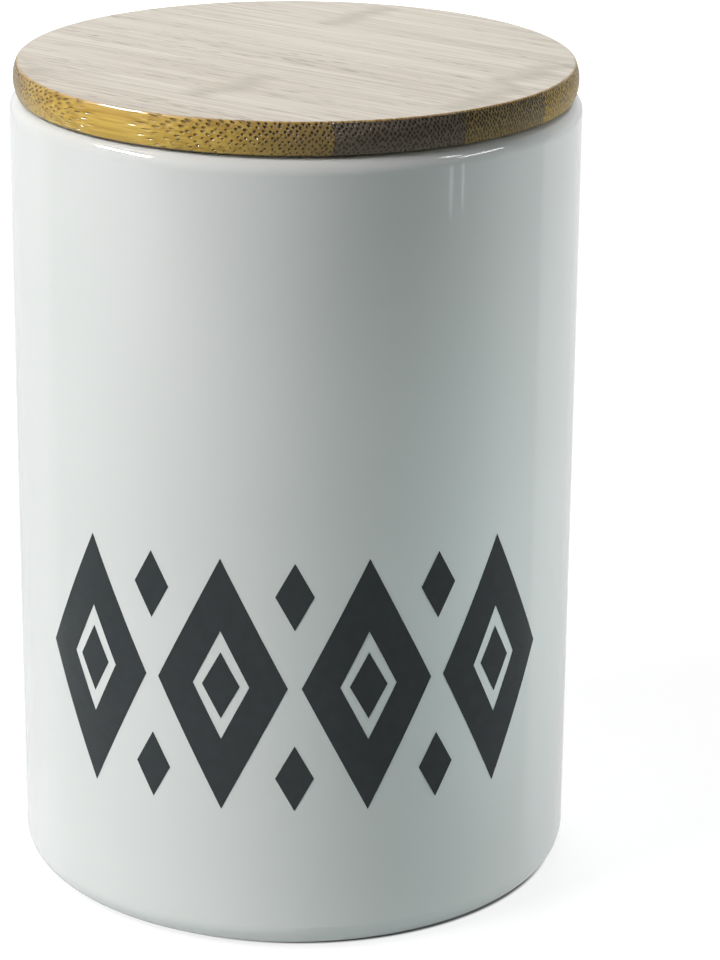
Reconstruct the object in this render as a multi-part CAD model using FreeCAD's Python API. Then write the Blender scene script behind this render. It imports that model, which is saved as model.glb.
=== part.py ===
"""Salt canister: a glazed stoneware jar closed by a flat bamboo lid with a silicone seal ring.

Millimetres, +Z up. The origin is the centre of the foot, on the surface that the jar stands on,
and the front of the jar faces -Y. Every piece is a solid of revolution about Z. The two bamboo
boards of the lid are then sawn along their glue joints into the strips that they are made of.
"""

import FreeCAD
import Part

import math
import os

# Jar: slip-cast stoneware, glazed inside and out, with a bare foot ring
JAR_DIAMETER = 102.0
JAR_HEIGHT = 144.2
WALL = 4.6
FLOOR = 5.5
FLOOR_CORNER_RADIUS = 7.0
BASE_CORNER_RADIUS = 4.5
LIP_OUTER_SHARE = 0.54  # of the wall, rounded away outside the crest
LIP_INNER_SHARE = 0.34  # of the wall, rounded away inside the crest
FOOT_RING_WIDTH = 3.6
FOOT_RECESS_DEPTH = 2.2
FOOT_DRAFT = 1.2
FOOT_EDGE_SHARE = 0.25  # of the recess depth, as rounding of the foot ring's inner edges

# Lid board: one layer of bamboo strips, glued edge to edge, then turned to a disc
LID_INSET = 0.8  # from the jar's outer wall to the lid's widest line
LID_GAP = 0.4  # from the crest of the lip up to the lid, which the seal holds clear of it
LID_THICKNESS = 5.9
LID_SWELL = 0.7  # from the lid's edges out to its widest line, at mid-height
LID_EDGE_SHARE = 0.08  # of the lid's thickness, as rounding of its edges
STRIP_COUNT = 5  # strip widths that span the lid, which sets the width of a strip
LEAST_EDGE_SHARE = 0.15  # of a strip: a narrower leftover stays on the strip beside it
GRAIN_ANGLE = -38.0  # degrees from +X, so the strips run from the back left to the front right
LID_JOINT_SHARE = 0.24  # of a strip, across the grain from the axis to the nearest glue joint

# Plug board: a second layer under the lid that drops into the mouth and carries the seal
PLUG_GAP = 2.2  # from the plug to the mouth, all round
PLUG_SKIRT = 2.0  # below the seal groove
PLUG_EDGE_SHARE = 0.6  # of the skirt, as rounding of the plug's lower edge
PLUG_STAGGER_SHARE = 0.5  # of a strip, so no glue joint lies under another
GROOVE_DROP = 1.9  # from the underside of the lid board to the groove, below the rounding of the lip
GROOVE_WIDTH = 4.2
GROOVE_DEPTH = 2.4

# Seal ring: silicone, a flat band with thin fins that wipe the mouth
SEAL_SLIP = 0.05  # clearance of the band in its groove
SEAL_SET_BACK = 0.3  # from the plug's face to the band's face
SEAL_TOUCH = 0.1  # clearance of the fin tips in the mouth
FIN_COUNT = 3
FIN_THICKNESS_SHARE = 0.5  # of the fin pitch
FIN_RISE_SHARE = 0.3  # of the fin pitch, from a fin's root up to its tip
FIN_TIP_SHARE = 0.35  # of the fin's thickness, as rounding of its tip

OVERRUN = 5.0  # how far a sawing slab reaches past the wood
PARTS_FOLDER = "parts"

# Sizes and places that follow from the ones above
jar_radius = JAR_DIAMETER / 2
mouth_radius = jar_radius - WALL
foot_radius = jar_radius - BASE_CORNER_RADIUS
foot_inner_radius = foot_radius - FOOT_RING_WIDTH
floor_height = FOOT_RECESS_DEPTH + FLOOR
lid_radius = jar_radius - LID_INSET
lid_underside = JAR_HEIGHT + LID_GAP
lid_top = lid_underside + LID_THICKNESS
strip_width = 2 * lid_radius / STRIP_COUNT
lid_joint = strip_width * LID_JOINT_SHARE
plug_joint = lid_joint - strip_width * PLUG_STAGGER_SHARE
plug_radius = mouth_radius - PLUG_GAP
groove_radius = plug_radius - GROOVE_DEPTH
groove_top = lid_underside - GROOVE_DROP
groove_bottom = groove_top - GROOVE_WIDTH
plug_bottom = groove_bottom - PLUG_SKIRT


def rounded_outline(corners):
    """Closed wire in the XZ plane through (radius, height, rounding) corners, rounded by tangent arcs."""
    points = [FreeCAD.Vector(radius, 0, height) for radius, height, _ in corners]
    turns = []
    for i, (_, _, rounding) in enumerate(corners):
        corner = points[i]
        back = (points[i - 1] - corner).normalize()
        ahead = (points[(i + 1) % len(points)] - corner).normalize()
        half_angle = back.getAngle(ahead) / 2
        reach = rounding / math.tan(half_angle)
        inwards = (back + ahead).normalize() if rounding else FreeCAD.Vector()
        depth = rounding / math.sin(half_angle) - rounding
        turns.append((corner + back * reach, corner + inwards * depth, corner + ahead * reach))
    edges = []
    for i, (start, middle, end) in enumerate(turns):
        edges.append(Part.LineSegment(turns[i - 1][2], start).toShape())
        if corners[i][2]:
            edges.append(Part.Arc(start, middle, end).toShape())
    return Part.Wire(edges)


def turned(outline):
    """Solid of revolution about Z from a closed wire in the XZ plane."""
    return Part.Face(outline).revolve(FreeCAD.Vector(), FreeCAD.Vector(0, 0, 1), 360)


def jar():
    """Straight-walled cup with a rounded lip and base, on a foot ring round a shallow recess."""
    foot_edge = FOOT_RECESS_DEPTH * FOOT_EDGE_SHARE
    corners = [
        (0, FOOT_RECESS_DEPTH, 0),
        (foot_inner_radius - FOOT_DRAFT, FOOT_RECESS_DEPTH, foot_edge),
        (foot_inner_radius, 0, foot_edge),
        (jar_radius, 0, BASE_CORNER_RADIUS),
        (jar_radius, JAR_HEIGHT, WALL * LIP_OUTER_SHARE),
        (mouth_radius, JAR_HEIGHT, WALL * LIP_INNER_SHARE),
        (mouth_radius, floor_height, FLOOR_CORNER_RADIUS),
        (0, floor_height, 0),
    ]
    return turned(rounded_outline(corners))


def lid_board():
    """Disc that covers the lip, a hair above its crest, with a gently rounded side and eased edges."""
    edge_radius = lid_radius - LID_SWELL
    low_centre = FreeCAD.Vector(0, 0, lid_underside)
    low_edge = FreeCAD.Vector(edge_radius, 0, lid_underside)
    widest = FreeCAD.Vector(lid_radius, 0, (lid_underside + lid_top) / 2)
    high_edge = FreeCAD.Vector(edge_radius, 0, lid_top)
    high_centre = FreeCAD.Vector(0, 0, lid_top)
    outline = [
        Part.LineSegment(low_centre, low_edge).toShape(),
        Part.Arc(low_edge, widest, high_edge).toShape(),
        Part.LineSegment(high_edge, high_centre).toShape(),
        Part.LineSegment(high_centre, low_centre).toShape(),
    ]
    board = turned(Part.Wire(outline))
    rims = [edge for edge in board.Edges if edge.Closed]
    return board.makeFillet(LID_THICKNESS * LID_EDGE_SHARE, rims)


def plug_board():
    """Smaller disc glued under the lid board, with the seal's groove turned into its edge."""
    corners = [
        (0, plug_bottom, 0),
        (plug_radius, plug_bottom, PLUG_SKIRT * PLUG_EDGE_SHARE),
        (plug_radius, groove_bottom, 0),
        (groove_radius, groove_bottom, 0),
        (groove_radius, groove_top, 0),
        (plug_radius, groove_top, 0),
        (plug_radius, lid_underside, 0),
        (0, lid_underside, 0),
    ]
    return turned(rounded_outline(corners))


def seal_ring():
    """Band that sits in the groove, with fins that slope up and out to the wall of the mouth."""
    inner_radius = groove_radius + SEAL_SLIP
    band_radius = plug_radius - SEAL_SET_BACK
    tip_radius = mouth_radius - SEAL_TOUCH
    bottom = groove_bottom + SEAL_SLIP
    top = groove_top - SEAL_SLIP
    pitch = (top - bottom) / FIN_COUNT
    thickness = pitch * FIN_THICKNESS_SHARE
    rise = pitch * FIN_RISE_SHARE
    tip_rounding = thickness * FIN_TIP_SHARE
    corners = [(inner_radius, bottom, 0), (band_radius, bottom, 0)]
    for i in range(FIN_COUNT):
        root = bottom + i * pitch + (pitch - thickness) / 2
        corners += [
            (band_radius, root, 0),
            (tip_radius, root + rise, tip_rounding),
            (tip_radius, root + rise + thickness, tip_rounding),
            (band_radius, root + thickness, 0),
        ]
    corners += [(band_radius, top, 0), (inner_radius, top, 0)]
    return turned(rounded_outline(corners))


def joint_offsets(radius, nearest_joint):
    """Places of the glue joints across a disc, one strip apart, with no thin leftover at its edge."""
    reach = radius - strip_width * LEAST_EDGE_SHARE
    first = math.ceil((-reach - nearest_joint) / strip_width)
    last = math.floor((reach - nearest_joint) / strip_width)
    return [nearest_joint + i * strip_width for i in range(first, last + 1)]


def sawn_into_strips(board, radius, nearest_joint):
    """The strips that a turned board is glued up from, in order from the front left to the back right."""
    reach = radius + OVERRUN
    box = board.BoundBox
    cuts = [-reach] + joint_offsets(radius, nearest_joint) + [reach]
    strips = []
    for near, far in zip(cuts, cuts[1:]):
        corner = FreeCAD.Vector(-reach, near, box.ZMin - OVERRUN)
        slab = Part.makeBox(2 * reach, far - near, box.ZLength + 2 * OVERRUN, corner)
        slab.rotate(FreeCAD.Vector(), FreeCAD.Vector(0, 0, 1), GRAIN_ANGLE)
        strips.append(board.common(slab).Solids[0])
    return strips


def pieces():
    """Every piece of the canister by its node's name."""
    made = {"jar": jar(), "seal_ring": seal_ring()}
    lid_strips = sawn_into_strips(lid_board(), lid_radius, lid_joint)
    plug_strips = sawn_into_strips(plug_board(), plug_radius, plug_joint)
    for i, strip in enumerate(lid_strips, start=1):
        made[f"lid_strip_{i}"] = strip
    for i, strip in enumerate(plug_strips, start=1):
        made[f"plug_strip_{i}"] = strip
    return made


os.makedirs(PARTS_FOLDER, exist_ok=True)
for node, solid in pieces().items():
    solid.exportStep(os.path.join(PARTS_FOLDER, node + ".step"))
    print(f"{node}: {solid.Volume / 1000:.2f} ml, valid {solid.isValid()}, {solid.ShapeType}")
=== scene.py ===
import math

import bpy
from mathutils import Matrix, Vector


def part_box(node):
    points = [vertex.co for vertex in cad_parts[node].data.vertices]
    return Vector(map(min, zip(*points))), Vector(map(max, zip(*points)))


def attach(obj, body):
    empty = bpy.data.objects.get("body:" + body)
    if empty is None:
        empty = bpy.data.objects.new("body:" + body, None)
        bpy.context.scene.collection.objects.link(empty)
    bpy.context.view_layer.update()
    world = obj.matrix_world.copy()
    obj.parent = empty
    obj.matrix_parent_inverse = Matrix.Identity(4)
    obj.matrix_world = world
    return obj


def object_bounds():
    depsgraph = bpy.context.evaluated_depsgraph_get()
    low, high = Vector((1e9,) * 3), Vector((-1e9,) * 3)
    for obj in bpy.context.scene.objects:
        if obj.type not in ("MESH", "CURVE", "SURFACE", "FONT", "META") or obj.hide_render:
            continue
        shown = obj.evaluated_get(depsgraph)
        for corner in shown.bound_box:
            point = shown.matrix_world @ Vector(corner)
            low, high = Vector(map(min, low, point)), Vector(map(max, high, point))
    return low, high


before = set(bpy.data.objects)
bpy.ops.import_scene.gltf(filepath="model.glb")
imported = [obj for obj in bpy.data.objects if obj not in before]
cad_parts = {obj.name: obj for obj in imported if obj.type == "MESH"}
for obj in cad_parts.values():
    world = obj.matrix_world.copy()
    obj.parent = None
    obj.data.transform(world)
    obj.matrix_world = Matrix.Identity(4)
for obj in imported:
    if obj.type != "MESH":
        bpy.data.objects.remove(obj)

CAD_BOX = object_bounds()

# Sizes of the canister, in metres, read from the imported parts
JAR_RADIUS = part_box("jar")[1].x
LID_TOP = CAD_BOX[1].z
LID_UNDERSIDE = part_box("lid_strip_1")[0].z
PLUG_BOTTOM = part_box("plug_strip_1")[0].z
LID_STRIPS = sorted(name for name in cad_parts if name.startswith("lid_strip"))
PLUG_STRIPS = sorted(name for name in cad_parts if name.startswith("plug_strip"))

# Print on the front, in metres: a chain of lozenges with small diamonds in the notches between them
PRINT_HEIGHT = 0.0505  # of the chain's middle, above the foot
LOZENGE_COUNT = 4
LOZENGE_PITCH = 0.026
LOZENGE_HALF_WIDTH = 0.0118
LOZENGE_HALF_HEIGHT = 0.0235
LOZENGE_STROKE = 0.0060
DIAMOND_HALF_WIDTH = 0.0034
DIAMOND_HALF_HEIGHT = 0.0062
DIAMOND_RISE = 0.0170  # from the chain's middle to the diamonds in the notches
PRINT_CUTS = 6
PRINT_THICKNESS = 0.00004
PRINT_SMOOTH_ANGLE = math.radians(30)

# Patterns of the materials are laid out in millimetres
MM = 1000  # in a metre

# Stoneware: below these heights above the floor the glaze was wiped off the foot
GLAZE_EDGE = (0.26, 0.32)
GLAZE_WANDER = 0.3

# Bamboo: the grain runs from the back left to the front right
GRAIN_TURN = math.radians(38)
BUNDLE_PITCHES = (0.50, 0.80)  # across a strip and up it
BUNDLE_SIZES = (0.13, 0.23)  # radius in pitches, at the underside and at the top of a board
BUNDLE_EDGE = 0.09  # softness of a bundle's outline, in pitches
BUNDLE_SWELLING = 0.20  # more radius where the cut is square to the grain
BUNDLE_WANDER = 1  # how far a bundle strays across the strip and up it
GLUE_LINE = 0.10  # how far the glue's stain reaches into a strip
OUT_OF_REACH = 10
NODE_RAGGEDNESS = 12  # how far the band of a culm's node strays along the grain
NODE_HALF_WIDTH = 5
LID_NODE_PLACES = (-28, 6, 45, 41, -12, 60)  # along the grain, where a culm's node crosses a strip
PLUG_NODE_PLACES = (18, -24, 31, -3, 60)
LID_END_TONES = ("#9C8250", "#766A5A", "#8F7A4A", "#BC9A34", "#8A7548", "#A08A50")
PLUG_END_TONES = ("#A08A50", "#7A6A4E", "#96804C", "#6E6252", "#A08A58")
LID_SEED = 0
PLUG_SEED = 50
SEED_STEP = 3.7  # from one strip's pattern to the next one's

# Camera: where the photograph was taken from, in metres and radians, with a frame of 720 by 960
CAMERA_DISTANCE = 0.5925
CAMERA_HEIGHT = 0.2805
CAMERA_YAW = 0.0202
CAMERA_PITCH = 0.3400
CAMERA_ROLL = 0.0096
CAMERA_LENS_MM = 127.28
SENSOR_MM = 36.0

# Paper floor: what the eye sees of it, in metres
FLOOR_SIZE = 8.0
FLOOR_DROP = 0.0001  # below the foot, so the two never share a plane
GLOW_EDGE = (0.20, 0.60)  # distances from the jar's axis between which its glow rises to white
GLOW_STRENGTHS = (0.81, 1.0)
CONTACT_EDGE = (0.0474, 0.0484)  # painted contact shadow: the glow fades out inside these, under the jar's rounded base
CONTACT_SHIFT = 0.0012  # this shadow lies a little to the right, away from the key
PAPER_SHADE = "#959595"

# Paper floor: the light that it bounces onto the canister, with painted light and shade in its bounce
# colour
STRONG_BOUNCE = "#BBC4C3"
PLAIN_BOUNCE = "#92A2A0"
DIM_BOUNCE = "#3C3C3C"
BOUNCE_EDGE = (0.08, 0.22)  # painted pool of bounce light: distances from the axis between which it falls from strong to plain
SHADE_EDGE = (0.01, 0.07)  # painted shadow: places to the right between which it turns dim, on the jar's shadow side
PAPER_EDGE = (-0.50, -0.22)  # painted shade: depths between which it, and the mirrored paper, fade towards the camera

# Paper floor and surround: what the gloss mirrors of them
FLAG_SLOPE = 0.49  # painted flags: the mirrored paper is painted darker in front of lines of this slope on both sides
FLAG_EDGE = (-0.056, -0.044)
MIRROR_SHARES = (0.35, 0.75)  # of the paper's white, in front of the painted flags' lines and behind them
SURROUND_EDGE = (0.20, 0.80)  # depths of direction between which the mirrored surround rises to white
FILL_COLOUR = "#E1FFFF"
FILL_STRENGTH = 0.02

# Softboxes: bearings are in degrees to the right. The key, strips and panes show only as glints.
LIGHT_TARGET = (0.0, 0.0, 0.10)
SOFTBOXES = (
    {"name": "key", "bearing": -90, "distance": 0.70, "height": 0.84,
     "size": (0.44, 0.09), "power": 30, "lighting": False},
    {"name": "high", "bearing": -62, "distance": 0.64, "height": 0.78,
     "size": (0.36, 0.26), "power": 5.2, "colour": "#FFFAF8", "mirrored": False},
    {"name": "front", "bearing": -58, "distance": 0.90, "height": 0.16,
     "size": (0.4, 0.3), "power": 3.2, "mirrored": False},
    {"name": "side", "bearing": 100, "distance": 0.90, "height": 0.16,
     "size": (0.4, 0.3), "power": 4.5, "mirrored": False},
    {"name": "low", "bearing": 47, "distance": 0.14, "height": 0.06,
     "size": (0.05, 0.08), "power": 0.024, "colour": "#E6FFFB", "mirrored": False},
    {"name": "back", "bearing": 180, "distance": 0.55, "height": 0.8,
     "size": (0.5, 0.5), "power": 2.85, "mirrored": False},
    {"name": "rear", "bearing": 180, "distance": 0.90, "height": 0.2,
     "size": (0.4, 0.3), "power": 3, "mirrored": False},
    {"name": "strip_1", "bearing": 79, "distance": 0.62, "height": 0.785,
     "size": (0.09, 0.12), "power": 0.4, "lighting": False},
    {"name": "strip_2", "bearing": 86, "distance": 0.80, "height": 0.67,
     "size": (0.38, 0.08), "power": 1.1, "lighting": False},
    {"name": "pane_1", "bearing": 59, "distance": 0.36, "height": 0.063,
     "size": (0.009, 0.024), "power": 0.0011, "lighting": False},
    {"name": "pane_2", "bearing": 64, "distance": 0.36, "height": 0.063,
     "size": (0.007, 0.024), "power": 0.0009, "lighting": False},
)

# Sockets of the Mix node in colour mode
MIX_FACTOR, MIX_A, MIX_B, MIX_RESULT = 0, 6, 7, 2


def linear(hex_colour):
    """Linear RGBA of an sRGB hex colour."""
    values = [int(hex_colour[i:i + 2], 16) / 255 for i in (1, 3, 5)]
    return [v / 12.92 if v <= 0.04045 else ((v + 0.055) / 1.055) ** 2.4 for v in values] + [1.0]


def add_node(tree, kind, inputs=None, **settings):
    """Adds a node, sets it up, and gives each named input a value or a link."""
    node = tree.nodes.new(kind)
    for name, value in settings.items():
        setattr(node, name, value)
    for key, value in (inputs or {}).items():
        if isinstance(value, bpy.types.NodeSocket):
            tree.links.new(value, node.inputs[key])
        else:
            node.inputs[key].default_value = value
    return node


def new_tree(owner):
    """Empty node tree of a material or a world."""
    owner.use_nodes = True
    owner.node_tree.nodes.clear()
    return owner.node_tree


def glazed_stoneware():
    """White glaze on cast stoneware: glossy, with the faint swell of a fired surface, and a dry sandy
    ring at the foot, where the glaze was wiped off."""
    material = bpy.data.materials.new("glazed_stoneware")
    tree = new_tree(material)
    place = add_node(tree, "ShaderNodeTexCoord").outputs
    millimetres = add_node(tree, "ShaderNodeMapping", {
        "Vector": place["Object"],
        "Scale": (MM, MM, MM),
    }).outputs[0]
    height = add_node(tree, "ShaderNodeSeparateXYZ", {0: millimetres}).outputs[2]
    cloud = add_node(tree, "ShaderNodeTexNoise", {
        "Vector": millimetres,
        "Scale": 1 / 40,
        "Detail": 1,
    }).outputs[0]
    swell = add_node(tree, "ShaderNodeTexNoise", {
        "Vector": millimetres,
        "Scale": 1 / 11,
        "Detail": 1,
    }).outputs[0]
    grit = add_node(tree, "ShaderNodeTexNoise", {
        "Vector": millimetres,
        "Scale": 1 / 0.4,
        "Detail": 3,
    }).outputs[0]
    wavy = add_node(tree, "ShaderNodeMath", {
        0: cloud,
        1: GLAZE_WANDER,
        2: height,
    }, operation="MULTIPLY_ADD").outputs[0]
    bare = add_node(tree, "ShaderNodeMapRange", {
        "Value": wavy,
        "From Min": GLAZE_EDGE[1],
        "From Max": GLAZE_EDGE[0],
    }).outputs[0]
    glaze = add_node(tree, "ShaderNodeMix", {
        MIX_FACTOR: cloud,
        MIX_A: linear("#EEF0EF"),
        MIX_B: linear("#E6E9E8"),
    }, data_type="RGBA").outputs[MIX_RESULT]
    body = add_node(tree, "ShaderNodeMix", {
        MIX_FACTOR: grit,
        MIX_A: linear("#D6CBB8"),
        MIX_B: linear("#B9AB94"),
    }, data_type="RGBA").outputs[MIX_RESULT]
    colour = add_node(tree, "ShaderNodeMix", {
        MIX_FACTOR: bare,
        MIX_A: glaze,
        MIX_B: body,
    }, data_type="RGBA").outputs[MIX_RESULT]
    roughness = add_node(tree, "ShaderNodeMapRange", {
        "Value": bare,
        "To Min": 0.045,
        "To Max": 0.9,
    }).outputs[0]
    rolling = add_node(tree, "ShaderNodeBump", {"Height": swell, "Distance": 0.00005}).outputs[0]
    dry = add_node(tree, "ShaderNodeMath", {0: grit, 1: bare}, operation="MULTIPLY").outputs[0]
    relief = add_node(tree, "ShaderNodeBump", {
        "Height": dry,
        "Distance": 0.00008,
        "Normal": rolling,
    }).outputs[0]
    surface = add_node(tree, "ShaderNodeBsdfPrincipled", {
        "Base Color": colour,
        "Roughness": roughness,
        "IOR": 1.52,
        "Normal": relief,
    })
    add_node(tree, "ShaderNodeOutputMaterial", {"Surface": surface.outputs[0]})
    return material


def glued_sides(strips):
    """Where each strip of a board is glued, across the grain and in millimetres. The board's own two
    edges are turned, not glued, so there the place is out of reach."""
    across = Vector((math.sin(GRAIN_TURN), math.cos(GRAIN_TURN), 0))
    sides = []
    for strip in strips:
        places = [across.dot(vertex.co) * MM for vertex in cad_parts[strip].data.vertices]
        sides.append([min(places), max(places)])
    sides[0][0] -= OUT_OF_REACH
    sides[-1][1] += OUT_OF_REACH
    return sides


def bamboo(strip, seed, bottom, top, end_tone, node_place, sides):
    """Lacquered bamboo strip: pale and finely streaked on its planed faces, golden on its turned edge,
    and stippled with dark fibre bundles where the edge cuts across the grain."""
    material = bpy.data.materials.new("bamboo_" + strip)
    tree = new_tree(material)
    place = add_node(tree, "ShaderNodeTexCoord").outputs

    # Millimetres along, across and up, and how far the surface faces each of these ways
    grain = add_node(tree, "ShaderNodeMapping", {
        "Vector": place["Object"],
        "Rotation": (0, 0, GRAIN_TURN),
        "Scale": (MM, MM, MM),
    }).outputs[0]
    facing = add_node(tree, "ShaderNodeMapping", {
        "Vector": place["Normal"],
        "Rotation": (0, 0, GRAIN_TURN),
    }, vector_type="NORMAL").outputs[0]
    along, across, height = add_node(tree, "ShaderNodeSeparateXYZ", {0: grain}).outputs
    end, _, up = add_node(tree, "ShaderNodeSeparateXYZ", {0: facing}).outputs
    flat = add_node(tree, "ShaderNodeMath", {0: up, 1: up}, operation="MULTIPLY").outputs[0]
    edge = add_node(tree, "ShaderNodeMapRange", {
        "Value": flat,
        "From Min": 0.95,
        "From Max": 0.75,
    }, interpolation_type="SMOOTHSTEP").outputs[0]
    turned = add_node(tree, "ShaderNodeMapRange", {
        "Value": flat,
        "From Min": 0.6,
        "From Max": 0.15,
    }, interpolation_type="SMOOTHSTEP").outputs[0]
    across_cut = add_node(tree, "ShaderNodeMath", {0: end, 1: end}, operation="MULTIPLY").outputs[0]
    end_grain = add_node(tree, "ShaderNodeMapRange", {
        "Value": across_cut,
        "From Min": 0.02,
        "From Max": 0.45,
    }, interpolation_type="SMOOTHSTEP").outputs[0]

    # Streaks along the grain, fine and broad
    thin = add_node(tree, "ShaderNodeMapping", {
        "Vector": grain,
        "Scale": (1 / 40, 1 / 0.55, 1 / 0.55),
    }).outputs[0]
    fine = add_node(tree, "ShaderNodeTexNoise", {
        "Vector": thin,
        "W": seed,
        "Scale": 1,
        "Detail": 3,
    }, noise_dimensions="4D").outputs[0]
    wide = add_node(tree, "ShaderNodeMapping", {
        "Vector": grain,
        "Scale": (1 / 60, 1 / 4, 1 / 7),
    }).outputs[0]
    broad = add_node(tree, "ShaderNodeTexNoise", {
        "Vector": wide,
        "W": seed,
        "Scale": 1,
        "Detail": 2,
    }, noise_dimensions="4D").outputs[0]

    # A culm's node: a narrow smudged band across the strip
    off_node = add_node(tree, "ShaderNodeMath", {
        0: along,
        1: node_place,
    }, operation="SUBTRACT").outputs[0]
    ragged = add_node(tree, "ShaderNodeMath", {
        0: broad,
        1: NODE_RAGGEDNESS,
        2: off_node,
    }, operation="MULTIPLY_ADD").outputs[0]
    centred = add_node(tree, "ShaderNodeMath", {
        0: ragged,
        1: NODE_RAGGEDNESS / 2,
    }, operation="SUBTRACT").outputs[0]
    from_node = add_node(tree, "ShaderNodeMath", {0: centred}, operation="ABSOLUTE").outputs[0]
    band = add_node(tree, "ShaderNodeMapRange", {
        "Value": from_node,
        "From Min": NODE_HALF_WIDTH,
        "From Max": 0,
    }, interpolation_type="SMOOTHSTEP").outputs[0]
    node = add_node(tree, "ShaderNodeMath", {0: band, 1: fine}, operation="MULTIPLY").outputs[0]

    # Vessels that the plane opened: short dark dashes, in clusters and at the node
    short = add_node(tree, "ShaderNodeMapping", {
        "Vector": grain,
        "Scale": (1 / 5, 1 / 0.6, 1 / 0.6),
    }).outputs[0]
    vessels = add_node(tree, "ShaderNodeTexNoise", {
        "Vector": short,
        "W": seed,
        "Scale": 1,
        "Detail": 1,
    }, noise_dimensions="4D").outputs[0]
    open_vessels = add_node(tree, "ShaderNodeMapRange", {
        "Value": vessels,
        "From Min": 0.58,
        "From Max": 0.66,
        "To Max": 0.65,
    }).outputs[0]
    clusters = add_node(tree, "ShaderNodeMapRange", {
        "Value": broad,
        "From Min": 0.60,
        "From Max": 0.40,
    }).outputs[0]
    crowded = add_node(tree, "ShaderNodeMath", {0: clusters, 1: band}, operation="MAXIMUM").outputs[0]
    dashes = add_node(tree, "ShaderNodeMath", {
        0: open_vessels,
        1: crowded,
    }, operation="MULTIPLY").outputs[0]

    # Fibre bundles: long rods in a staggered lattice that wander a little along the culm
    slow = add_node(tree, "ShaderNodeMapping", {
        "Vector": grain,
        "Scale": (1 / 45, 1 / 14, 1 / 14),
    }).outputs[0]
    drift = add_node(tree, "ShaderNodeTexNoise", {
        "Vector": slow,
        "W": seed,
        "Scale": 1,
        "Detail": 1,
    }, noise_dimensions="4D").outputs["Color"]
    bent = add_node(tree, "ShaderNodeVectorMath", {
        0: drift,
        1: (0, BUNDLE_WANDER, BUNDLE_WANDER),
        2: grain,
    }, operation="MULTIPLY_ADD").outputs[0]
    lattice = add_node(tree, "ShaderNodeMapping", {
        "Vector": bent,
        "Location": (0.2, seed, 0),
        "Rotation": (math.radians(45), 0, 0),
        "Scale": (0, 1 / BUNDLE_PITCHES[0], 1 / BUNDLE_PITCHES[1]),
    }).outputs[0]
    rods = add_node(tree, "ShaderNodeTexVoronoi", {
        "Vector": lattice,
        "Scale": 1,
        "Randomness": 0.42,
    }).outputs["Distance"]
    size = add_node(tree, "ShaderNodeMapRange", {
        "Value": height,
        "From Min": bottom * MM,
        "From Max": top * MM,
        "To Min": BUNDLE_SIZES[0],
        "To Max": BUNDLE_SIZES[1],
    }).outputs[0]
    swollen = add_node(tree, "ShaderNodeMath", {
        0: across_cut,
        1: BUNDLE_SWELLING,
        2: size,
    }, operation="MULTIPLY_ADD").outputs[0]
    outside = add_node(tree, "ShaderNodeMath", {
        0: swollen,
        1: BUNDLE_EDGE,
    }, operation="ADD").outputs[0]
    inside = add_node(tree, "ShaderNodeMath", {
        0: swollen,
        1: BUNDLE_EDGE,
    }, operation="SUBTRACT").outputs[0]
    rod = add_node(tree, "ShaderNodeMapRange", {
        "Value": rods,
        "From Min": outside,
        "From Max": inside,
    }).outputs[0]
    opened = add_node(tree, "ShaderNodeMapRange", {
        "Value": across_cut,
        "From Min": 0.0,
        "From Max": 0.03,
    }).outputs[0]
    bundles = add_node(tree, "ShaderNodeMath", {0: rod, 1: opened}, operation="MULTIPLY").outputs[0]
    dark = add_node(tree, "ShaderNodeMapRange", {
        "Value": height,
        "From Min": bottom * MM,
        "From Max": top * MM,
        "To Min": 0.55,
        "To Max": 1.0,
    }).outputs[0]

    # Glue lines at the strip's long sides
    low, high = sides
    from_low = add_node(tree, "ShaderNodeMath", {0: across, 1: low}, operation="SUBTRACT").outputs[0]
    from_high = add_node(tree, "ShaderNodeMath", {0: high, 1: across}, operation="SUBTRACT").outputs[0]
    nearest = add_node(tree, "ShaderNodeMath", {
        0: from_low,
        1: from_high,
    }, operation="MINIMUM").outputs[0]
    glue = add_node(tree, "ShaderNodeMapRange", {
        "Value": nearest,
        "From Min": GLUE_LINE,
        "From Max": 0,
        "To Max": 0.45,
    }).outputs[0]

    # Colours of the planed faces
    streak = add_node(tree, "ShaderNodeMath", {
        0: broad,
        1: 0.5,
        2: fine,
    }, operation="MULTIPLY_ADD").outputs[0]
    streaky = add_node(tree, "ShaderNodeMapRange", {
        "Value": streak,
        "From Min": 0.60,
        "From Max": 0.92,
    }).outputs[0]
    planed = add_node(tree, "ShaderNodeMix", {
        MIX_FACTOR: streaky,
        MIX_A: linear("#C5B7A1"),
        MIX_B: linear("#E4DBC9"),
    }, data_type="RGBA").outputs[MIX_RESULT]
    face = add_node(tree, "ShaderNodeMix", {
        MIX_FACTOR: dashes,
        MIX_A: planed,
        MIX_B: linear("#86775F"),
    }, data_type="RGBA").outputs[MIX_RESULT]
    smudged = add_node(tree, "ShaderNodeMix", {
        MIX_FACTOR: node,
        MIX_A: face,
        MIX_B: linear("#A89A82"),
    }, data_type="RGBA").outputs[MIX_RESULT]
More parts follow.
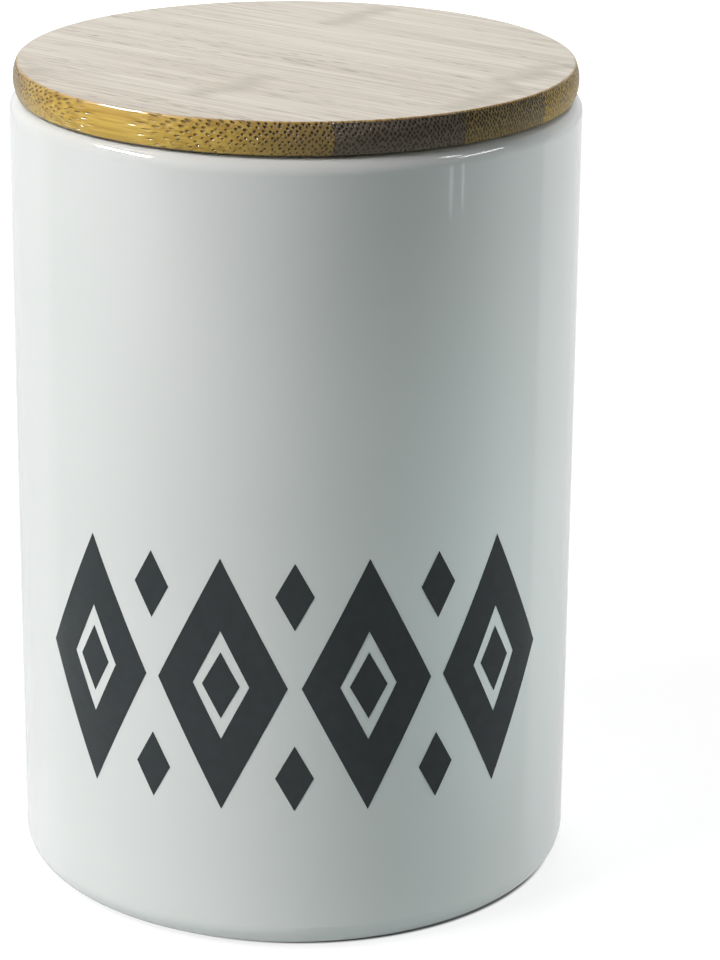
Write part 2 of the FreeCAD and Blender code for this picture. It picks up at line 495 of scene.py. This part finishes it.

    # Colours of the turned edge: golden along the grain, stippled across it, with eased corners in
    # painted light and shade, light on top and dark below
    long_side = add_node(tree, "ShaderNodeMix", {
        MIX_FACTOR: streaky,
        MIX_A: linear("#B48E36"),
        MIX_B: linear("#E2BE5C"),
    }, data_type="RGBA").outputs[MIX_RESULT]
    side = add_node(tree, "ShaderNodeMix", {
        MIX_FACTOR: end_grain,
        MIX_A: long_side,
        MIX_B: linear(end_tone),
    }, data_type="RGBA").outputs[MIX_RESULT]
    slant = add_node(tree, "ShaderNodeMapRange", {
        "Value": across_cut,
        "From Min": 0.0,
        "From Max": 0.25,
        "To Min": 0.3,
        "To Max": 1.0,
    }).outputs[0]
    darkest = add_node(tree, "ShaderNodeMath", {0: dark, 1: slant}, operation="MULTIPLY").outputs[0]
    stipple = add_node(tree, "ShaderNodeMath", {
        0: bundles,
        1: darkest,
    }, operation="MULTIPLY").outputs[0]
    stippled = add_node(tree, "ShaderNodeMix", {
        MIX_FACTOR: stipple,
        MIX_A: side,
        MIX_B: linear("#2A1E12"),
    }, data_type="RGBA").outputs[MIX_RESULT]
    # Painted light and shade on the eased corners: the one facing up is painted light golden, the one
    # facing down is painted dark as shade
    painted_light_facing_up = add_node(tree, "ShaderNodeMapRange", {
        "Value": up,
        "From Min": -0.3,
        "From Max": 0.3,
    }).outputs[0]
    eased_painted_light_and_shade = add_node(tree, "ShaderNodeMix", {
        MIX_FACTOR: painted_light_facing_up,
        MIX_A: linear("#20160C"),
        MIX_B: linear("#C29A4E"),
    }, data_type="RGBA").outputs[MIX_RESULT]
    corner = add_node(tree, "ShaderNodeMix", {
        MIX_FACTOR: turned,
        MIX_A: eased_painted_light_and_shade,
        MIX_B: stippled,
    }, data_type="RGBA").outputs[MIX_RESULT]

    # Both together, under the glue's stain
    ground = add_node(tree, "ShaderNodeMix", {
        MIX_FACTOR: edge,
        MIX_A: smudged,
        MIX_B: corner,
    }, data_type="RGBA").outputs[MIX_RESULT]
    colour = add_node(tree, "ShaderNodeMix", {
        MIX_FACTOR: glue,
        MIX_A: ground,
        MIX_B: linear("#6A4C22"),
    }, data_type="RGBA").outputs[MIX_RESULT]

    # Lacquer and relief: the bundles' open pores are pits under the lacquer
    roughness = add_node(tree, "ShaderNodeMapRange", {
        "Value": fine,
        "To Min": 0.40,
        "To Max": 0.58,
    }).outputs[0]
    lacquer = add_node(tree, "ShaderNodeMapRange", {
        "Value": turned,
        "To Min": 0.6,
        "To Max": 0.3,
    }).outputs[0]
    ripple = add_node(tree, "ShaderNodeBump", {"Height": fine, "Distance": 0.00006}).outputs[0]
    pits = add_node(tree, "ShaderNodeBump", {
        "Height": bundles,
        "Distance": 0.0004,
        "Normal": ripple,
    }, invert=True).outputs[0]
    surface = add_node(tree, "ShaderNodeBsdfPrincipled", {
        "Base Color": colour,
        "Roughness": roughness,
        "IOR": 1.45,
        "Specular IOR Level": 0.3,
        "Coat Weight": lacquer,
        "Coat Roughness": 0.12,
        "Coat Normal": pits,
        "Normal": pits,
    })
    add_node(tree, "ShaderNodeOutputMaterial", {"Surface": surface.outputs[0]})
    return material


def moulded_silicone():
    """Moulded food-grade silicone: milky, slightly see-through, with a soft dry sheen."""
    material = bpy.data.materials.new("moulded_silicone")
    tree = new_tree(material)
    place = add_node(tree, "ShaderNodeTexCoord").outputs
    millimetres = add_node(tree, "ShaderNodeMapping", {
        "Vector": place["Object"],
        "Scale": (MM, MM, MM),
    }).outputs[0]
    cloud = add_node(tree, "ShaderNodeTexNoise", {
        "Vector": millimetres,
        "Scale": 1 / 6,
        "Detail": 2,
    }).outputs[0]
    bloom = add_node(tree, "ShaderNodeTexNoise", {
        "Vector": millimetres,
        "Scale": 1 / 0.3,
        "Detail": 2,
    }).outputs[0]
    colour = add_node(tree, "ShaderNodeMix", {
        MIX_FACTOR: cloud,
        MIX_A: linear("#E4E4DF"),
        MIX_B: linear("#D3D4CF"),
    }, data_type="RGBA").outputs[MIX_RESULT]
    roughness = add_node(tree, "ShaderNodeMapRange", {
        "Value": bloom,
        "To Min": 0.36,
        "To Max": 0.56,
    }).outputs[0]
    relief = add_node(tree, "ShaderNodeBump", {"Height": bloom, "Distance": 0.00001}).outputs[0]
    surface = add_node(tree, "ShaderNodeBsdfPrincipled", {
        "Base Color": colour,
        "Roughness": roughness,
        "IOR": 1.41,
        "Subsurface Weight": 0.5,
        "Subsurface Radius": (1.0, 0.95, 0.85),
        "Subsurface Scale": 0.0015,
        "Normal": relief,
    })
    add_node(tree, "ShaderNodeOutputMaterial", {"Surface": surface.outputs[0]})
    return material


def fired_ink():
    """Ceramic ink fired on the glaze: charcoal, a little softer in its shine than the glaze around it,
    with the faint mottle of a screened film."""
    material = bpy.data.materials.new("fired_ink")
    tree = new_tree(material)
    place = add_node(tree, "ShaderNodeTexCoord").outputs
    millimetres = add_node(tree, "ShaderNodeMapping", {
        "Vector": place["Object"],
        "Scale": (MM, MM, MM),
    }).outputs[0]
    mottle = add_node(tree, "ShaderNodeTexNoise", {
        "Vector": millimetres,
        "Scale": 1 / 2.5,
        "Detail": 4,
    }).outputs[0]
    colour = add_node(tree, "ShaderNodeMix", {
        MIX_FACTOR: mottle,
        MIX_A: linear("#272C2F"),
        MIX_B: linear("#33383B"),
    }, data_type="RGBA").outputs[MIX_RESULT]
    roughness = add_node(tree, "ShaderNodeMapRange", {
        "Value": mottle,
        "To Min": 0.12,
        "To Max": 0.18,
    }).outputs[0]
    relief = add_node(tree, "ShaderNodeBump", {"Height": mottle, "Distance": 0.000002}).outputs[0]
    surface = add_node(tree, "ShaderNodeBsdfPrincipled", {
        "Base Color": colour,
        "Roughness": roughness,
        "IOR": 1.5,
        "Normal": relief,
    })
    add_node(tree, "ShaderNodeOutputMaterial", {"Surface": surface.outputs[0]})
    return material


def white_paper():
    """Matt white paper sweep: white to the eye, with a faint shadow, and a bounce of light painted into
    its colour: a painted pool of light round the foot, painted shade towards the camera and a painted
    shadow on the jar's shadow side."""
    material = bpy.data.materials.new("white_paper")
    tree = new_tree(material)
    path = add_node(tree, "ShaderNodeLightPath").outputs
    place = add_node(tree, "ShaderNodeTexCoord").outputs
    aside, depth, _ = add_node(tree, "ShaderNodeSeparateXYZ", {0: place["Object"]}).outputs
    from_axis = add_node(tree, "ShaderNodeVectorMath", {
        0: place["Object"],
    }, operation="LENGTH").outputs["Value"]

    # The light that it bounces onto the canister: a painted pool of light round the foot, painted shade
    # towards the camera and a painted shadow to the right
    out_of_painted_shade = add_node(tree, "ShaderNodeMapRange", {
        "Value": depth,
        "From Min": PAPER_EDGE[0],
        "From Max": PAPER_EDGE[1],
    }, interpolation_type="SMOOTHSTEP").outputs[0]
    plain = add_node(tree, "ShaderNodeMix", {
        MIX_FACTOR: out_of_painted_shade,
        MIX_A: linear(DIM_BOUNCE),
        MIX_B: linear(PLAIN_BOUNCE),
    }, data_type="RGBA").outputs[MIX_RESULT]
    painted_pool_round_foot = add_node(tree, "ShaderNodeMapRange", {
        "Value": from_axis,
        "From Min": BOUNCE_EDGE[1],
        "From Max": BOUNCE_EDGE[0],
    }, interpolation_type="SMOOTHSTEP").outputs[0]
    gathered = add_node(tree, "ShaderNodeMix", {
        MIX_FACTOR: painted_pool_round_foot,
        MIX_A: plain,
        MIX_B: linear(STRONG_BOUNCE),
    }, data_type="RGBA").outputs[MIX_RESULT]
    painted_shadow_side = add_node(tree, "ShaderNodeMapRange", {
        "Value": aside,
        "From Min": SHADE_EDGE[0],
        "From Max": SHADE_EDGE[1],
    }, interpolation_type="SMOOTHSTEP").outputs[0]
    dimmed = add_node(tree, "ShaderNodeMix", {
        MIX_FACTOR: painted_shadow_side,
        MIX_A: gathered,
        MIX_B: linear(DIM_BOUNCE),
    }, data_type="RGBA").outputs[MIX_RESULT]
    bounce = add_node(tree, "ShaderNodeBsdfDiffuse", {"Color": dimmed})

    # What the eye sees: its own glow, less the canister's shadow, which is painted in at the contact
    shade = add_node(tree, "ShaderNodeBsdfDiffuse", {"Color": linear(PAPER_SHADE)})
    strength = add_node(tree, "ShaderNodeMapRange", {
        "Value": from_axis,
        "From Min": GLOW_EDGE[0],
        "From Max": GLOW_EDGE[1],
        "To Min": GLOW_STRENGTHS[0],
        "To Max": GLOW_STRENGTHS[1],
    }, interpolation_type="SMOOTHSTEP").outputs[0]
    # Painted contact shadow: the glow is cut away under the jar's base, a little to the right
    from_contact = add_node(tree, "ShaderNodeVectorMath", {
        0: place["Object"],
        1: (CONTACT_SHIFT, 0, 0),
    }, operation="DISTANCE").outputs["Value"]
    clear = add_node(tree, "ShaderNodeMapRange", {
        "Value": from_contact,
        "From Min": CONTACT_EDGE[0],
        "From Max": CONTACT_EDGE[1],
    }, interpolation_type="SMOOTHSTEP").outputs[0]
    glowing = add_node(tree, "ShaderNodeMath", {0: strength, 1: clear}, operation="MULTIPLY").outputs[0]
    glow = add_node(tree, "ShaderNodeEmission", {"Strength": glowing})
    paper = add_node(tree, "ShaderNodeAddShader", {0: shade.outputs[0], 1: glow.outputs[0]})

    # What the gloss mirrors: the same paper, painted darker in front of two painted flags' lines and
    # towards the camera, as painted reflection
    reflected = add_node(tree, "ShaderNodeMath", {
        0: path["Is Glossy Ray"],
        1: path["Is Transmission Ray"],
    }, operation="MAXIMUM").outputs[0]
    sideways = add_node(tree, "ShaderNodeMath", {0: aside}, operation="ABSOLUTE").outputs[0]
    past_painted_flags = add_node(tree, "ShaderNodeMath", {
        0: sideways,
        1: -FLAG_SLOPE,
        2: depth,
    }, operation="MULTIPLY_ADD").outputs[0]
    open_paper = add_node(tree, "ShaderNodeMapRange", {
        "Value": past_painted_flags,
        "From Min": FLAG_EDGE[0],
        "From Max": FLAG_EDGE[1],
        "To Min": MIRROR_SHARES[0],
        "To Max": MIRROR_SHARES[1],
    }, interpolation_type="SMOOTHSTEP").outputs[0]
    shown = add_node(tree, "ShaderNodeMath", {0: out_of_painted_shade, 1: open_paper}, operation="MULTIPLY").outputs[0]
    mirrored = add_node(tree, "ShaderNodeMath", {
        0: reflected,
        1: shown,
    }, operation="MULTIPLY").outputs[0]
    seen = add_node(tree, "ShaderNodeMath", {
        0: path["Is Camera Ray"],
        1: mirrored,
    }, operation="MAXIMUM").outputs[0]
    either = add_node(tree, "ShaderNodeMixShader", {0: seen, 1: bounce.outputs[0], 2: paper.outputs[0]})
    add_node(tree, "ShaderNodeOutputMaterial", {"Surface": either.outputs[0]})
    return material


def dress(obj, material):
    """Gives an object one material."""
    obj.data.materials.clear()
    obj.data.materials.append(material)


def dress_board(strips, first_seed, bottom, top, end_tones, node_places):
    """Gives each strip of a board bamboo of its own."""
    rows = zip(strips, end_tones, node_places, glued_sides(strips))
    for i, (strip, tone, node_place, sides) in enumerate(rows):
        seed = first_seed + SEED_STEP * i
        dress(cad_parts[strip], bamboo(strip, seed, bottom, top, tone, node_place, sides))


def wrap_on_jar(obj):
    """Lays a flat XY drawing round the jar, with X along the wall from the front and Y up."""
    for vertex in obj.data.vertices:
        angle = vertex.co.x / JAR_RADIUS
        vertex.co = (JAR_RADIUS * math.sin(angle), -JAR_RADIUS * math.cos(angle), vertex.co.y)


def flat_diamond(x, y, half_width, half_height, stroke=0):
    """Flat diamond drawn at a place, solid or, with a stroke, as an outline."""
    bpy.ops.mesh.primitive_circle_add(vertices=4, radius=1, fill_type="NGON")
    diamond = bpy.context.object
    bpy.ops.object.mode_set(mode="EDIT")
    bpy.ops.mesh.select_all(action="SELECT")
    bpy.ops.transform.resize(value=(half_width, half_height, 1))
    bpy.ops.transform.translate(value=(x, y, 0))
    if stroke:
        bpy.ops.mesh.inset(thickness=stroke)
        bpy.ops.mesh.delete(type="FACE")
        bpy.ops.mesh.select_all(action="SELECT")
    bpy.ops.mesh.subdivide(number_cuts=PRINT_CUTS)
    bpy.ops.object.mode_set(mode="OBJECT")
    return diamond


def front_print():
    """Chain of lozenges printed round the front of the jar, as one thin film of ink."""
    bpy.ops.object.select_all(action="DESELECT")
    lozenge = (LOZENGE_HALF_WIDTH, LOZENGE_HALF_HEIGHT, LOZENGE_STROKE)
    small = (DIAMOND_HALF_WIDTH, DIAMOND_HALF_HEIGHT)
    shapes = []
    for i in range(LOZENGE_COUNT):
        x = (i - (LOZENGE_COUNT - 1) / 2) * LOZENGE_PITCH
        shapes.append(flat_diamond(x, PRINT_HEIGHT, *lozenge))
        shapes.append(flat_diamond(x, PRINT_HEIGHT, *small))
    for i in range(LOZENGE_COUNT - 1):
        x = (i - (LOZENGE_COUNT - 2) / 2) * LOZENGE_PITCH
        for y in (PRINT_HEIGHT - DIAMOND_RISE, PRINT_HEIGHT + DIAMOND_RISE):
            shapes.append(flat_diamond(x, y, *small))
    for shape in shapes:
        shape.select_set(True)
    bpy.context.view_layer.objects.active = shapes[0]
    bpy.ops.object.join()
    film = bpy.context.object
    film.name = "front_print"
    wrap_on_jar(film)
    body = film.modifiers.new("film", "SOLIDIFY")
    body.thickness = PRINT_THICKNESS
    body.offset = 1
    bpy.ops.object.modifier_apply(modifier=body.name)
    bpy.ops.object.shade_smooth_by_angle(angle=PRINT_SMOOTH_ANGLE)
    return film


def softbox(name, bearing, distance, height, size, power,
            colour="#FFFFFF", lighting=True, mirrored=True):
    """Rectangular softbox that faces the canister, to light it, to be mirrored in its gloss, or both."""
    light = bpy.data.lights.new(name, "AREA")
    light.shape = "RECTANGLE"
    light.size, light.size_y = size
    light.energy = power
    light.color = linear(colour)[:3]
    lamp = bpy.data.objects.new(name, light)
    turn = math.radians(bearing)
    lamp.location = (distance * math.sin(turn), -distance * math.cos(turn), height)
    lamp.rotation_euler = (Vector(LIGHT_TARGET) - lamp.location).to_track_quat("-Z", "Y").to_euler()
    lamp.visible_camera = False
    lamp.visible_diffuse = lighting
    lamp.visible_glossy = mirrored
    bpy.context.scene.collection.objects.link(lamp)


def surround():
    """World that is white to the eye and gives little light. In the gloss it is white only behind the
    canister."""
    world = bpy.data.worlds.new("surround")
    bpy.context.scene.world = world
    tree = new_tree(world)
    path = add_node(tree, "ShaderNodeLightPath").outputs
    way = add_node(tree, "ShaderNodeTexCoord").outputs["Generated"]
    depth = add_node(tree, "ShaderNodeSeparateXYZ", {0: way}).outputs[1]
    behind = add_node(tree, "ShaderNodeMapRange", {
        "Value": depth,
        "From Min": SURROUND_EDGE[0],
        "From Max": SURROUND_EDGE[1],
    }, interpolation_type="SMOOTHSTEP").outputs[0]
    reflected = add_node(tree, "ShaderNodeMath", {
        0: path["Is Glossy Ray"],
        1: path["Is Transmission Ray"],
    }, operation="MAXIMUM").outputs[0]
    mirrored = add_node(tree, "ShaderNodeMath", {
        0: reflected,
        1: behind,
    }, operation="MULTIPLY").outputs[0]
    seen = add_node(tree, "ShaderNodeMath", {
        0: path["Is Camera Ray"],
        1: mirrored,
    }, operation="MAXIMUM").outputs[0]
    fill = add_node(tree, "ShaderNodeBackground", {
        "Color": linear(FILL_COLOUR),
        "Strength": FILL_STRENGTH,
    })
    white = add_node(tree, "ShaderNodeBackground", {"Color": linear("#FFFFFF"), "Strength": 1.0})
    either = add_node(tree, "ShaderNodeMixShader", {0: seen, 1: fill.outputs[0], 2: white.outputs[0]})
    add_node(tree, "ShaderNodeOutputWorld", {"Surface": either.outputs[0]})


def studio():
    """White paper floor, the softboxes and the surround."""
    bpy.ops.mesh.primitive_plane_add(size=FLOOR_SIZE, location=(0, 0, -FLOOR_DROP))
    floor = bpy.context.object
    floor.name = "floor"
    dress(floor, white_paper())
    for box in SOFTBOXES:
        softbox(**box)
    surround()


def camera():
    """Camera of the photograph, in front of the jar and above it."""
    data = bpy.data.cameras.new("camera")
    data.lens = CAMERA_LENS_MM
    data.sensor_width = SENSOR_MM
    ahead = Vector((
        math.sin(CAMERA_YAW) * math.cos(CAMERA_PITCH),
        math.cos(CAMERA_YAW) * math.cos(CAMERA_PITCH),
        -math.sin(CAMERA_PITCH),
    ))
    level = Vector((math.cos(CAMERA_YAW), -math.sin(CAMERA_YAW), 0))
    right = level * math.cos(CAMERA_ROLL) + level.cross(ahead) * math.sin(CAMERA_ROLL)
    turn = Matrix((right, right.cross(ahead), -ahead)).transposed()
    eye = bpy.data.objects.new("camera", data)
    eye.matrix_world = Matrix.Translation((0, -CAMERA_DISTANCE, CAMERA_HEIGHT)) @ turn.to_4x4()
    bpy.context.scene.collection.objects.link(eye)
    bpy.context.scene.camera = eye


bpy.ops.object.select_all(action="DESELECT")
dress(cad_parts["jar"], glazed_stoneware())
dress_board(LID_STRIPS, LID_SEED, LID_UNDERSIDE, LID_TOP, LID_END_TONES, LID_NODE_PLACES)
dress_board(PLUG_STRIPS, PLUG_SEED, PLUG_BOTTOM, LID_UNDERSIDE, PLUG_END_TONES, PLUG_NODE_PLACES)
dress(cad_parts["seal_ring"], moulded_silicone())
ink = front_print()
dress(ink, fired_ink())
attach(ink, "jar")
studio()
camera()
bpy.context.scene.view_settings.view_transform = "Standard"
